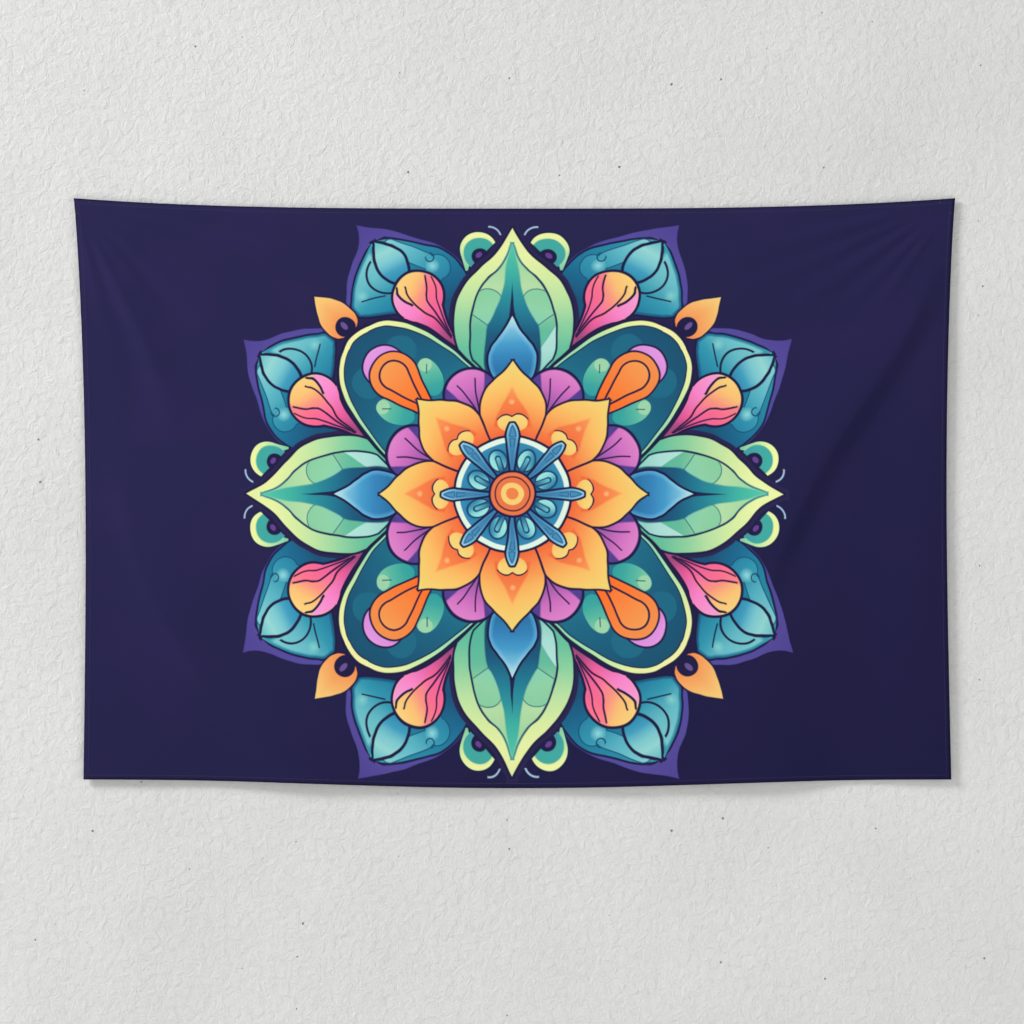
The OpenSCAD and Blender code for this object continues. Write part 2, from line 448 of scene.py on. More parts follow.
def hearts(tint, spot):
    u, v, w, q = folds(spot)
    sloped = pair(w, q)
    heart = edge(w, q, [(190, 107), (247, 104), (290, 96), (328, 84), (356, 67), (372, 49), (383, 24)]).least(disc(sloped, (319, 0), 68))
    tint = lay(tint, inside(heart, 4.8), printInks["line"])
    tint = lay(tint, inside(heart), shade(w, 230, 385, "8fd8b0", "a4dfae", "c3e8a6", "e4efa4", "f0f0a6"))
    fill = heart + w.node("MapRange", {}, {0: w, 1: 200.0, 2: 340.0, 3: 4.5, 4: 10.0})
    tint = lay(tint, inside(fill, 2.2), printInks["line"])
    tint = lay(tint, inside(fill), shade(w + q * 0.4, 200, 400, "1f7a90", "1a6682", "175876", "154d6c"))
    tint = lay(tint, inside(disc(sloped, (312, 40), 27)) * inside(fill), "1c6883")
    lobe = oval(sloped, (243, 42), 22, 34, 21)
    tint = lay(tint, inside(lobe), shade(w + q * 0.6, 225, 300, "2f9c9c", "3aa59d", "58b79f", "7cc8a6"))
    tint = lay(tint, inside(disc(sloped, (264, 52), 12)) * inside(lobe), "9cd3a9")
    tint = lay(tint, inside(bar(sloped, (252, 44), (262, 54)), 0.9), "1b4d63")
    moon = disc(sloped, (312, 0), 36)
    tint = lay(tint, inside(moon, 3.4), printInks["line"])
    tint = lay(tint, inside(moon), shade(w, 290, 350, "c579cf", "d98bda", "e39ae0"))
    tear = taper(w, q, (199, 9), (275, 38)).least(disc(sloped, (289, 0), 40.5))
    tint = lay(tint, inside(tear, 3.5), printInks["line"])
    tint = lay(tint, inside(tear), shade(w, 215, 330, "fa6f22", "f87a33", "f58742", "f3924c"))
    loop = taper(w, q, (216, 0), (280, 22)).least(disc(sloped, (289, 0), 24))
    tint = lay(tint, inside(loop, 3.6), printInks["line"])
    return lay(tint, inside(loop), shade(w, 230, 312, "f9772e", "f78a42", "f59c52"))


def bulbs(tint, spot):
    u, v = upright(spot)
    local = turnedAt(pair(u, v), (254, 97), 39)
    a, b = split(local)
    bulb = disc(local, (109, -4), 43).least(edge(a, abs(b + 2), [(0, 0), (17, 5), (43, 12), (70, 23), (95, 40)]))
    within = inside(bulb)
    tint = lay(tint, inside(bulb, 5.0), printInks["line"])
    tint = lay(tint, within, shade(a + b * 0.4, 10, 150, "84466f", "b24a80", "ea5c95", "f7739b", "f8937f", "f9c173", "f8cf7c"))
    reds = outline(a, [(17, 0), (50, -8), (80, -11), (100, -16), (130, -36)])
    tint = lay(tint, within * inside(b - reds, 0, 4), shade(a, 30, 140, "a84a7d", "ee6196", "f96f8e", "f58a84"))
    rosy = outline(a, [(17, 4), (60, 8), (95, 12), (130, 22), (150, 26)])
    tint = lay(tint, within * inside(rosy - b, 0, 6), shade(a, 20, 130, "9a4b80", "e0609f", "f784c6", "f49bd0"))
    veins = stroke(a, b, [(22, -6), (45, -8), (66, -9), (90, -10), (100, -15), (112, -26), (130, -36)])
    veins = veins.least(stroke(a, b, [(30, -8), (44, -12), (82, -25), (104, -39), (122, -44)]) + 0.3)
    veins = veins.least(stroke(a, b, [(20, -4), (45, -4), (83, 6), (115, 10), (137, 4)]))
    veins = veins.least(stroke(a, b, [(104, 14), (118, 20), (132, 22), (145, 16)]) - 0.5)
    return lay(tint, inside(veins, 1.7) * within, printInks["line"])


def leaves(tint, spot):
    x, y = split(spot)
    u, v, w, q = folds(spot)
    folded = pair(u, v)
    leaf = leafGap(u, v, q)
    tint = lay(tint, inside(leaf, 4.2), printInks["line"])
    tint = lay(tint, inside(leaf), shade(u, 215, 455, "55b896", "68c09b", "8ed09f", "b8e0a2", "d3eaa0", "e6f0a4", "e6efa0"))
    inner = edge(u, v, [(204, 30), (215, 54), (233, 66), (251, 71), (285, 72), (302, 70), (320, 66), (337, 61), (354, 53), (372, 40), (389, 22), (410, 8), (432, 0)])
    inner = inner.most(118 - q)
    within = inside(inner)
    tint = lay(tint, inside(inner, 3.7), shade(u, 330, 428, "1b2750", "1d3f62", "3f9b97"))
    tint = lay(tint, within, shade(u, 210, 395, "50b194", "58b699", "64bb9b", "93cd9f", "b4dca5", "a3d49f"))
    lobe = disc(folded, (329, 41), 25).least(bar(folded, (329, 41), (292, 48)) - 23.0)
    lobe = lobe.most((v - 40) * 0.57 - (u - 291) * 0.82)
    tint = lay(tint, inside(lobe, 1.6) * within, "23697c")
    tint = lay(tint, inside(lobe) * within, shade(u + v * 0.4, 300, 375, "7fcfb4", "8fd0a5", "86cc9d"))
    # a paler blade lies along the outside of each half of the level leaves, and of one half of the upright ones
    turned = (abs(x) - abs(y)).most(x).math("GREATER_THAN", 0.0)
    pale = within * inside((u * 0.645 - v - 115) * 0.84) * turned
    tint = lay(tint, pale, shade(u, 205, 290, "7fc8b8", "a9dcd2", "b4e2d8"))
    vein = edge(u, v, [(200, 42), (238, 48), (268, 46), (289, 43), (299, 37), (316, 28), (337, 20), (358, 15), (389, 11), (432, 0)])
    tint = lay(tint, inside(vein, 0.5, 3.0) * within, shade(u, 240, 420, "154767", "18587a", "1f7890", "2a929a", "3fb09f", "4fc0a4"))
    return lay(tint, inside(edge(u, v, [(300, 6), (320, 3.4), (340, 1.8), (364, 0)])), "1c1f4c")


def buds(tint, spot):
    u, v = upright(spot)
    bud = edge(u, v, [(190, 26), (205, 33), (220, 38), (236, 40), (251, 36), (268, 24), (285, 11), (307, 0)])
    tint = lay(tint, inside(bud, 4.5), printInks["line"])
    tint = lay(tint, inside(bud), shade(u, 215, 306, "2b74a6", "3583b8", "449bc8", "74bbd8", "c0e6ea"))
    return lay(tint, inside(bud) * inside(-bud, 4, 8), shade(u, 215, 306, "4f9fd0", "67b4dc", "b0dfe8"))


def fans(tint, spot):
    near, far, t, d = eighths(spot)
    fan = disc(pair(t, d), (182, 0), 47)
    tint = lay(tint, inside(fan, 4.6), printInks["line"])
    tint = lay(tint, inside(fan), shade(t, 150, 225, "4a3a80", "55408f", "4c3a86"))
    wedge = (d - (t - 138.0) * 0.5) * 0.9
    tint = lay(tint, inside(wedge, 0, 3) * inside(fan, -1), shade(t, 145, 225, "8d4f9f", "a85cab", "cf70bf", "dd82c6"))
    return lay(tint, inside(stroke(t, d, [(150, 1), (170, 5), (190, 10), (208, 17)]), 1.4) * inside(fan), printInks["line"])


def petals(tint, spot):
    near, far, t, d = eighths(spot)
    local = pair(near, far)
    petal = edge(near, far, [(95, 40), (126, 52), (145, 55), (171, 49), (196, 30), (215, 11), (230, 0)]).most(2.0 - d)
    tint = lay(tint, inside(petal, 3.9), printInks["plum"])
    tint = lay(tint, inside(petal), shade(near + far * 0.45, 108, 226, "f0683a", "f47d44", "f79852", "f9ae5c", "f9c066", "f6cb6d", "f1d574"))
    flame = edge(near, far, [(116, 31), (132, 28), (148, 20), (162, 12), (174, 6), (186, 0)])
    tint = lay(tint, inside(flame, 0, 4), shade(near, 128, 186, "ef6c3c", "f67f47", "fa9a58"))
    tint = lay(tint, inside(disc(local, (160, 0), 4), 0, 4), "fcb070")
    brow = outline(far, [(0, 134), (9, 138), (18, 136), (27, 129)])
    cup = oval(local, (124, 0), 0, 17, 25).most(near - brow)
    tint = lay(tint, inside(cup), shade(near, 108, 136, "f8b765", "f6cf72", "f6d47c"))
    return lay(tint, inside(abs(near - brow).most(far - 25), 1.5), "2b1d3f")


def wheel(tint, spot):
    near, far, t, d = eighths(spot)
    local = pair(near, far)
    x, y = split(spot)
    r = spot.node("VectorMath", {"operation": "LENGTH"}, {0: spot}, 1)
    tint = lay(tint, inside(r - 102), printInks["line"])
    tint = lay(tint, inside(r - 97.5), "dff4e2")
    tint = lay(tint, inside(r - 89), shade(r, 35, 89, "1f5f8c", "2b79a3", "3489b2"))
    turn = y.math("ARCTAN2", x).math("WRAP", math.radians(45.0), 0.0) - math.radians(22.5)
    curl = pair(r * turn.math("COSINE"), r * turn.math("SINE"))
    along, across = split(curl)
    scroll = oval(curl, (62, 0), 0, 17.5, 14)
    tint = lay(tint, inside(scroll, 3.2, 3), "1a3866")
    tint = lay(tint, inside(scroll), shade(across - along * 0.3, -36, -8, "2c7596", "479fb6", "7fd2d2", "98e2dc"))
    tint = lay(tint, inside(bar(curl, (46, 0), (66, -1)) - 5.6), "1d4674")
    tint = lay(tint, inside(bar(curl, (46, 1), (65, -1)) - 3.0), shade(along, 46, 68, "2c7394", "6cc0ca"))
    spoke = taper(near, far, (40, 2), (100, 9.4))
    tip = disc(local, (99, -34.1), 43.5).most(disc(local, (108, 0), 14)).most(88 - near)
    spoke = spoke.least(tip)
    tint = lay(tint, inside(spoke, 3.9), printInks["line"])
    tint = lay(tint, inside(spoke), shade(near, 45, 122, "3a7fae", "4a90bd", "68aed0", "9ad0e6"))
    tint = lay(tint, inside(spoke, -2.6), shade(near, 45, 118, "2f6c9c", "3f80ab", "478bb4", "4a8fb8"))
    tint = lay(tint, inside(abs(spoke + 4.7), 0.6) * inside(80 - near), "235380")
    tint = lay(tint, inside(r - 41.2), printInks["line"])
    tint = lay(tint, inside(r - 37), "e9764a")
    tint = lay(tint, inside(abs(r - 29.6), 1.3), "4a2432")
    tint = lay(tint, inside(r - 19.5), "f7cf73")
    return lay(tint, inside(r - 10.4), "f0834a")


def printed(flat, ground):
    shake = flat.node("TexNoise", {"noise_dimensions": "2D"}, {0: flat, 2: 0.016, 3: 1.0, 4: 0.5}, 1)
    shift = shake.node("VectorMath", {"operation": "SUBTRACT"}, {0: shake, 1: (0.5, 0.5, 0.5)})
    spot = shift.node("VectorMath", {"operation": "MULTIPLY_ADD"}, {0: shift, 1: (5.0, 5.0, 0.0), 2: flat})
    tint = ground
    for name, draw in (("corner petals", cornerPetals), ("flames", flames), ("hooks", hooks), ("hearts", hearts), ("bulbs", bulbs),
                       ("leaves", leaves), ("buds", buds), ("fans", fans), ("petals", petals), ("wheel", wheel)):
        tint = motif(tint, spot, name, draw)
    return tint


# The printed cloth

clothPiece = {"across": 256, "down": 170, "thick": 0.0006, "printMiddle": (-0.004, -0.4945)}

selectNone()
bpy.ops.mesh.primitive_grid_add(x_subdivisions=clothPiece["across"], y_subdivisions=clothPiece["down"], size=1,
                                location=(0, -hanging["clothFront"], -hanging["flatHigh"] / 2), rotation=(math.pi / 2, 0, 0))
printedCloth = named("printed_cloth")
printedCloth.scale = (hanging["flatWide"], hanging["flatHigh"], 1)
settle(printedCloth)
clothMesh = printedCloth.data
clothMesh.uv_layers[0].name = "OFBake"
clothMesh.uv_layers.new(name="printed")
clothMesh.uv_layers.new(name="laid")
flatPlaces = [vertex.co.copy() for vertex in clothMesh.vertices]
hangPiece(printedCloth)


def printPlace(place):  # where the print lies on the hung cloth, with the slight pull in it
    x, y = place.x - clothPiece["printMiddle"][0], place.z - clothPiece["printMiddle"][1]
    if x > 0:
        x /= 1 + 0.0167 + 0.0246 * min(1.6, abs(y) / 0.259) ** 2
    if y < 0:
        y /= 1 + 0.012 + 0.034 * min(1.3, -y / 0.415) ** 2
    return x, y


for loop in clothMesh.loops:
    flat = flatPlaces[loop.vertex_index]
    clothMesh.uv_layers["OFBake"].data[loop.index].uv = (0.5 + flat.x / hanging["flatWide"] * 0.992, 0.997 + flat.z / hanging["flatHigh"] * 0.79)
    clothMesh.uv_layers["printed"].data[loop.index].uv = printPlace(clothMesh.vertices[loop.vertex_index].co)
    clothMesh.uv_layers["laid"].data[loop.index].uv = (flat.x, flat.z + hanging["flatHigh"] / 2)
clothMesh.materials.append(None)  # printed face
clothMesh.materials.append(None)  # plain face
finishWith(printedCloth, "SOLIDIFY", thickness=clothPiece["thick"], offset=-1, material_offset=1)
for face in clothMesh.polygons:
    if face.material_index == 1 and face.normal.y > 0.5:
        for index in face.loop_indices:
            u, v = clothMesh.uv_layers["OFBake"].data[index].uv
            clothMesh.uv_layers["OFBake"].data[index].uv = (u, 0.004 + (v - 0.207) * 0.24)
bpy.context.view_layer.objects.active = printedCloth
clothMesh.polygons.foreach_set("use_smooth", [True] * len(clothMesh.polygons))
print("cloth hung")

# Turned hems: the printed side folded over to the back

hemPiece = {"wide": 0.010, "thick": 0.0015, "steps": 260, "pucker": 0.00018}


def hemStrip(name, start, end, inset):  # a folded strip along one edge of the flat cloth, from start to end
    middle = ((start[0] + end[0]) / 2, (start[1] + end[1]) / 2)
    long = max(abs(end[0] - start[0]), abs(end[1] - start[1]))
    upright = abs(end[1] - start[1]) > abs(end[0] - start[0])
    selectNone()
    bpy.ops.mesh.primitive_cube_add(size=1, location=(middle[0], -(hanging["hemBack"] + hemPiece["thick"] / 2), middle[1]))
    strip = named(name)
    wide = hemPiece["wide"]
    strip.scale = (wide, hemPiece["thick"], long) if upright else (long, hemPiece["thick"], wide)
    settle(strip)
    edges = strip.data.edges
    bpy.ops.object.mode_set(mode="EDIT")
    bpy.ops.mesh.select_all(action="DESELECT")
    bpy.ops.object.mode_set(mode="OBJECT")
    axis = 2 if upright else 0
    for edge_ in edges:
        a, b = (strip.data.vertices[i].co for i in edge_.vertices)
        edge_.select = abs(a[axis] - b[axis]) > long / 2
    bpy.ops.object.mode_set(mode="EDIT")
    bpy.ops.mesh.select_mode(type="EDGE")
    bpy.ops.mesh.bevel(offset=0.00045, segments=3, affect="EDGES")
    bpy.ops.mesh.select_all(action="DESELECT")
    bpy.ops.object.mode_set(mode="OBJECT")
    for edge_ in strip.data.edges:
        a, b = (strip.data.vertices[i].co for i in edge_.vertices)
        edge_.select = abs(a[axis] - b[axis]) > long / 2
    bpy.ops.object.mode_set(mode="EDIT")
    bpy.ops.mesh.subdivide(number_cuts=hemPiece["steps"])
    bpy.ops.object.mode_set(mode="OBJECT")
    back = -(hanging["hemBack"] + 0.0002)
    for vertex in strip.data.vertices:
        if vertex.co.y > back:  # the back of the fold draws in a little at each stitch
            run = vertex.co[axis]
            vertex.co.y -= hemPiece["pucker"] * (1 + math.sin(run * 700)) * (0.6 + 0.4 * math.sin(run * 61))
    hangPiece(strip)
    smoothShading(strip, 50)
    return strip


halfFlat, flatHigh, hemWide = hanging["flatWide"] / 2, hanging["flatHigh"], hemPiece["wide"]
hems = [
    hemStrip("hem_fold_top", (-halfFlat, -hemWide / 2), (halfFlat, -hemWide / 2), 0),
    hemStrip("hem_fold_bottom", (-halfFlat, -flatHigh + hemWide / 2), (halfFlat, -flatHigh + hemWide / 2), 0),
    hemStrip("hem_fold_left", (-halfFlat + hemWide / 2, -hemWide), (-halfFlat + hemWide / 2, -flatHigh + hemWide), hemWide),
    hemStrip("hem_fold_right", (halfFlat - hemWide / 2, -hemWide), (halfFlat - hemWide / 2, -flatHigh + hemWide), hemWide),
]
print("hems turned")

# Lockstitching along the hems, one stitch modelled and repeated on both faces

stitchPiece = {"pitch": 0.003, "long": 0.0027, "wide": 0.0006, "proud": 0.00028, "inset": 0.008}


def joined(pieces):
    selectNone()
    for piece in pieces:
        piece.select_set(True)
    bpy.context.view_layer.objects.active = pieces[0]
    bpy.ops.object.join()
    return pieces[0]


def stitchRow(name, start, end):
    upright = abs(end[1] - start[1]) > abs(end[0] - start[0])
    long = abs(end[1] - start[1]) if upright else abs(end[0] - start[0])
    axis = 2 if upright else 0
    row = None
    for depth, shift in ((hanging["clothFront"] + stitchPiece["proud"] / 2 - 0.00002, 0), (hanging["hemBack"] - stitchPiece["proud"] / 2 + 0.00002, 0.5)):
        first = [start[0], -depth, start[1]]
        first[axis] += stitchPiece["pitch"] * (0.5 + shift) * (1 if not upright else -1)
        selectNone()
        bpy.ops.mesh.primitive_uv_sphere_add(segments=8, ring_count=4, radius=0.5, location=first)
        stitch = named(name)
        size = [stitchPiece["wide"], stitchPiece["proud"], stitchPiece["wide"]]
        size[axis] = stitchPiece["long"]
        stitch.scale = size
        settle(stitch)
        for vertex in stitch.data.vertices:  # blunt ends, a slight slant
            off = vertex.co[axis] - first[axis]
            across = 2 - axis
            vertex.co[across] += off * 0.06
            vertex.co[axis] = first[axis] + math.copysign(min(abs(off), stitchPiece["long"] * 0.46), off)
        step = [0.0, 0.0, 0.0]
        step[axis] = stitchPiece["pitch"] * (-1 if upright else 1)
        count = int(long / stitchPiece["pitch"] - shift)
        finishWith(stitch, "ARRAY", count=count, use_relative_offset=False, use_constant_offset=True, constant_offset_displace=step)
        if row:
            joined([row, stitch])
        else:
            row = stitch
    hangPiece(row)
    row.data.polygons.foreach_set("use_smooth", [True] * len(row.data.polygons))
    return row


rowIn = stitchPiece["inset"]
stitching = [
    stitchRow("stitches_top", (-halfFlat + 0.002, -rowIn), (halfFlat - 0.002, -rowIn)),
    stitchRow("stitches_bottom", (-halfFlat + 0.002, -flatHigh + rowIn), (halfFlat - 0.002, -flatHigh + rowIn)),
    stitchRow("stitches_left", (-halfFlat + rowIn, -0.0105), (-halfFlat + rowIn, -flatHigh + 0.0105)),
    stitchRow("stitches_right", (halfFlat - rowIn, -0.0105), (halfFlat - rowIn, -flatHigh + 0.0105)),
]
print("hems stitched")

# Corner loops of twill tape, sewn behind the hems and caught over the pegs

loopPiece = {"wide": 0.008, "bend": (0.74949, 0.00449), "legTop": 0.0155, "legSide": 0.0147, "rise": 21.0, "turn": 0.0058, "past": 0.0034, "across": 8, "along": 56}


def tapeLine(share, past=0.0):  # middle of the tape and its way, from one bar tack to the other and a little past them
    bendX, bendZ = loopPiece["bend"]
    rise = math.radians(loopPiece["rise"])
    into, out = Vector((math.cos(rise), -math.sin(rise))), Vector((math.sin(rise), -math.cos(rise)))
    half = (math.pi / 2 - 2 * rise) / 2
    cut = loopPiece["turn"] * math.tan(half)
    bend = Vector((bendX, bendZ))
    legA, legB, arc = loopPiece["legTop"] - cut, loopPiece["legSide"] - cut, loopPiece["turn"] * 2 * half
    run = share * (legA + arc + legB + 2 * past) - past
    if run < legA:
        return bend - into * (cut + legA - run), into
    if run > legA + arc:
        return bend + out * (cut + run - legA - arc), out
    turned = (run - legA) / loopPiece["turn"]
    direction = Vector((math.cos(-rise - turned), math.sin(-rise - turned)))
    centre = bend - into * cut + Vector((-math.sin(rise), -math.cos(rise))) * loopPiece["turn"]
    return centre + Vector((-direction.y, direction.x)) * loopPiece["turn"], direction


def cornerTape(name, side):
    selectNone()
    bpy.ops.mesh.primitive_grid_add(x_subdivisions=loopPiece["along"], y_subdivisions=loopPiece["across"], size=1)
    tape = named(name)
    for vertex in tape.data.vertices:
        share, across = vertex.co.x + 0.5, vertex.co.y * 2
        middle, direction = tapeLine(share, loopPiece["past"])
        place = middle + Vector((-direction.y, direction.x)) * across * loopPiece["wide"] / 2
        bent = math.exp(-((share - 0.5) / 0.16) ** 2)
        sewn = 1 / (1 + math.exp(-(abs(share - 0.5) - 0.36) * 40))  # the ends lie down on the hem
        depth = (hanging["tapeBack"] + hanging["tapeFront"]) / 2 + 0.0001 * bent * math.sin(across * 7 + share * 9)
        depth += 0.00036 * sewn
        vertex.co = (side * place.x, -depth, place.y)
    finishWith(tape, "SOLIDIFY", thickness=0.00062, offset=0)
    finishWith(tape, "BEVEL", width=0.00018, segments=2, limit_method="ANGLE", angle_limit=math.radians(50))
    faceOut(tape)
    smoothShading(tape, 45)
    return tape


loops = [cornerTape("corner_tape_left", -1), cornerTape("corner_tape_right", 1)]

tackPiece = {"threads": 9, "long": 0.0029, "reach": 0.0017, "thick": 0.00032}


def barTacks(name, side):
    bars = []
    for share in (0.0, 1.0):
        foot, direction = tapeLine(share)
        acrossWay = Vector((-direction.y, direction.x))
        step = acrossWay * (tackPiece["long"] - tackPiece["thick"]) / (tackPiece["threads"] - 1)
        first = foot - step * (tackPiece["threads"] - 1) / 2
        for depth in (hanging["tapeBack"] + 0.0003, hanging["clothFront"] + 0.00013):
            selectNone()
            bpy.ops.mesh.primitive_uv_sphere_add(segments=8, ring_count=4, radius=0.5, location=(first.x, -depth, first.y))
            bar_ = named(name)
            bar_.scale = (tackPiece["reach"], tackPiece["thick"] * 0.85, tackPiece["thick"])
            bar_.rotation_euler = (0, -math.atan2(direction.y, direction.x) + 0.06, 0)
            settle(bar_)
            finishWith(bar_, "ARRAY", count=tackPiece["threads"], use_relative_offset=False, use_constant_offset=True, constant_offset_displace=(step.x, 0, step.y))
            bars.append(bar_)
    tacked = joined(bars)
    for vertex in tacked.data.vertices:
        vertex.co.x *= side
    if side < 0:
        tacked.data.flip_normals()
    tacked.data.polygons.foreach_set("use_smooth", [True] * len(tacked.data.polygons))
    return tacked


tacks = [barTacks("bar_tacks_left", -1), barTacks("bar_tacks_right", 1)]
print("corner tapes sewn on")

# Wall pins: point and shank in the wall, a thicker peg outside it

pinPiece = {"side": 0.745, "grip": 0.025, "shank": 0.001, "peg": 0.0015, "out": 0.0047,
            "turned": [(0.0250, 0.00012), (0.0220, 0.0010), (0.00015, 0.0010), (0.0, 0.0011), (0.0, 0.00142), (-0.0001, 0.0015),
                       (-0.00436, 0.0015), (-0.0046, 0.00138), (-0.0047, 0.0011), (-0.0047, 0.0004)]}


def wallPin(name, side):
    profile = pinPiece["turned"]
    selectNone()
    bpy.ops.mesh.primitive_circle_add(vertices=40, radius=profile[0][1], fill_type="NGON", location=(side * pinPiece["side"], profile[0][0], 0), rotation=(math.pi / 2, 0, 0))
    pin = named(name)
    settle(pin)
    bpy.ops.object.mode_set(mode="EDIT")
    bpy.ops.mesh.select_all(action="SELECT")
    for (y0, r0), (y1, r1) in zip(profile, profile[1:]):
        bpy.ops.mesh.extrude_region_move(TRANSFORM_OT_translate={"value": (0, y1 - y0, 0)})
        ratio = r1 / r0
        bpy.ops.transform.resize(value=(ratio, 1, ratio), center_override=(side * pinPiece["side"], y1, 0))
    bpy.ops.object.mode_set(mode="OBJECT")
    faceOut(pin)
    smoothShading(pin, 35)
    return pin


pins = [wallPin("pin_left", -1), wallPin("pin_right", 1)]
print("pins turned")


# Materials


def newMaterial(name):
    material = bpy.data.materials.new(name)
    material.use_nodes = True
    tree = material.node_tree
    return material, tree, tree.nodes["Principled BSDF"]


def wire(tree, kind, out, **settings):
    made = tree.nodes.new("ShaderNode" + kind)
    for name, value in settings.items():
        setattr(made, name, value)
    return Wire(tree, made.outputs[out])


def place(tree):
    return wire(tree, "TexCoord", "Object")


def weave(spot, pitch):  # plain weave: over-and-under threads, 0 in the gaps and 1 on the crowns
    apart = spot.node("SeparateXYZ", {}, {0: spot})
    x, z = apart, Wire(apart.tree, apart.socket.node.outputs[2])
    warp = (x * (math.pi / pitch)).math("SINE")
    weft = (z * (math.pi / pitch)).math("SINE")
    return abs(warp * weft).math("POWER", 0.6)


def bumped(tree, shader, height, deep):
    bump = height.node("Bump", {}, {"Strength": 1.0, "Distance": deep, "Height": height})
    tree.links.new(bump.socket, shader.inputs["Normal"])


clothFinish = {"ground": "22204a", "weave": 0.00075, "weaveDeep": 0.00003, "back": "e6e4ea", "showThrough": 0.16}


def clothFront():
    material, tree, shader = newMaterial("printed_face")
    flat = wire(tree, "UVMap", "UV", uv_map="printed")
    spot = flat.node("VectorMath", {"operation": "SCALE"}, {0: flat, "Scale": 1000.0})
    soft = spot.node("TexNoise", {"noise_dimensions": "2D"}, {0: spot, 2: 0.006, 3: 2.0, 4: 0.5})
    ground = lay(lay(spot, 1.0, clothFinish["ground"]), soft.math("MULTIPLY_ADD", 2.4, -0.9, clamp=True), "27204e")
    x, z = split(spot)
    # painted shade: the ground darkens towards the lower right, where less light falls on the cloth
    ground = lay(ground, (x * 0.0004 - z * 0.0008).math("ADD", 0.3, clamp=True), "16133d")
    laid = wire(tree, "UVMap", "UV", uv_map="laid")
    across, down = split(laid.node("VectorMath", {"operation": "SCALE"}, {0: laid, "Scale": 1000.0}))
    rim = (abs(across) - 748.2).most(abs(down) - 498.2)  # painted shade: a thin dark band along the edges, where the cloth turns under at the hem
    ground = lay(ground, inside(-rim, 1.0, 3.0), "141033")
    tint = printed(spot, ground)
    threads = weave(place(tree), clothFinish["weave"])
    # painted shade: the colour is multiplied darker in the gaps between the threads
    fade = tint.node("Mix", {"data_type": "RGBA", "blend_type": "MULTIPLY"}, {0: 1.0, 6: tint, 7: threads.node("ValToRGB", {"stops": [(0.0, ink("e6e6ea")), (1.0, ink("ffffff"))]}, {0: threads})}, 2)
    tree.links.new(fade.socket, shader.inputs["Base Color"])
    tree.links.new((threads * -0.06 + 0.86).socket, shader.inputs["Roughness"])
    shader.inputs["Sheen Weight"].default_value = 0.03
    shader.inputs["Sheen Roughness"].default_value = 0.5
    shader.inputs["Specular IOR Level"].default_value = 0.12
    bumped(tree, shader, threads, clothFinish["weaveDeep"])
    return material


def clothBack():
    material, tree, shader = newMaterial("plain_face")
    flat = wire(tree, "UVMap", "UV", uv_map="printed")
    spot = flat.node("VectorMath", {"operation": "SCALE"}, {0: flat, "Scale": 1000.0})
    through = printed(spot, lay(spot, 1.0, clothFinish["ground"]))
    tint = through.node("Mix", {"data_type": "RGBA"}, {0: clothFinish["showThrough"], 6: ink(clothFinish["back"]), 7: through}, 2)
    threads = weave(place(tree), clothFinish["weave"])
    # painted shade: the colour is multiplied darker in the gaps between the threads
    fade = tint.node("Mix", {"data_type": "RGBA", "blend_type": "MULTIPLY"}, {0: 1.0, 6: tint, 7: threads.node("ValToRGB", {"stops": [(0.0, ink("d9d8de")), (1.0, ink("ffffff"))]}, {0: threads})}, 2)
    tree.links.new(fade.socket, shader.inputs["Base Color"])
    tree.links.new((threads * -0.06 + 0.9).socket, shader.inputs["Roughness"])
    shader.inputs["Sheen Weight"].default_value = 0.1
    bumped(tree, shader, threads, clothFinish["weaveDeep"])
    return material


def hemCloth():
    material, tree, shader = newMaterial("turned_hem")
    spot = place(tree)
    threads = weave(spot, clothFinish["weave"])
    soft = spot.node("TexNoise", {}, {0: spot, 2: 9.0, 3: 3.0, 4: 0.6})
    tint = lay(lay(spot, 1.0, "27244f"), soft.math("MULTIPLY_ADD", 2.0, -0.6, clamp=True), "34315f")
    # painted shade: darker in the gaps between the threads
    tint = lay(tint, threads.math("MULTIPLY_ADD", -0.5, 0.5, clamp=True), "1c1940")
    tree.links.new(tint.socket, shader.inputs["Base Color"])
    tree.links.new((threads * -0.06 + 0.88).socket, shader.inputs["Roughness"])
    shader.inputs["Sheen Weight"].default_value = 0.1
    bumped(tree, shader, threads, 0.00004)
    return material


threadFinish = {"twist": 4200.0, "deep": 0.00005}


def spunThread(name, dark, light, axisMix):
    material, tree, shader = newMaterial(name)
    spot = place(tree)
    apart = spot.node("SeparateXYZ", {}, {0: spot})
    x, y, z = (Wire(tree, apart.socket.node.outputs[i]) for i in range(3))
    plies = ((x + z * axisMix + y * 0.7) * threadFinish["twist"]).math("SINE") * 0.5 + 0.5
    # painted shade: the thread is drawn darker in the grooves between its plies than on their crowns
    tint = lay(lay(spot, 1.0, dark), plies, light)
    tree.links.new(tint.socket, shader.inputs["Base Color"])
    tree.links.new((plies * -0.15 + 0.7).socket, shader.inputs["Roughness"])
    shader.inputs["Sheen Weight"].default_value = 0.2
    bumped(tree, shader, plies, threadFinish["deep"])
    return material


tapeFinish = {"rib": 0.0009, "slant": 1.0}


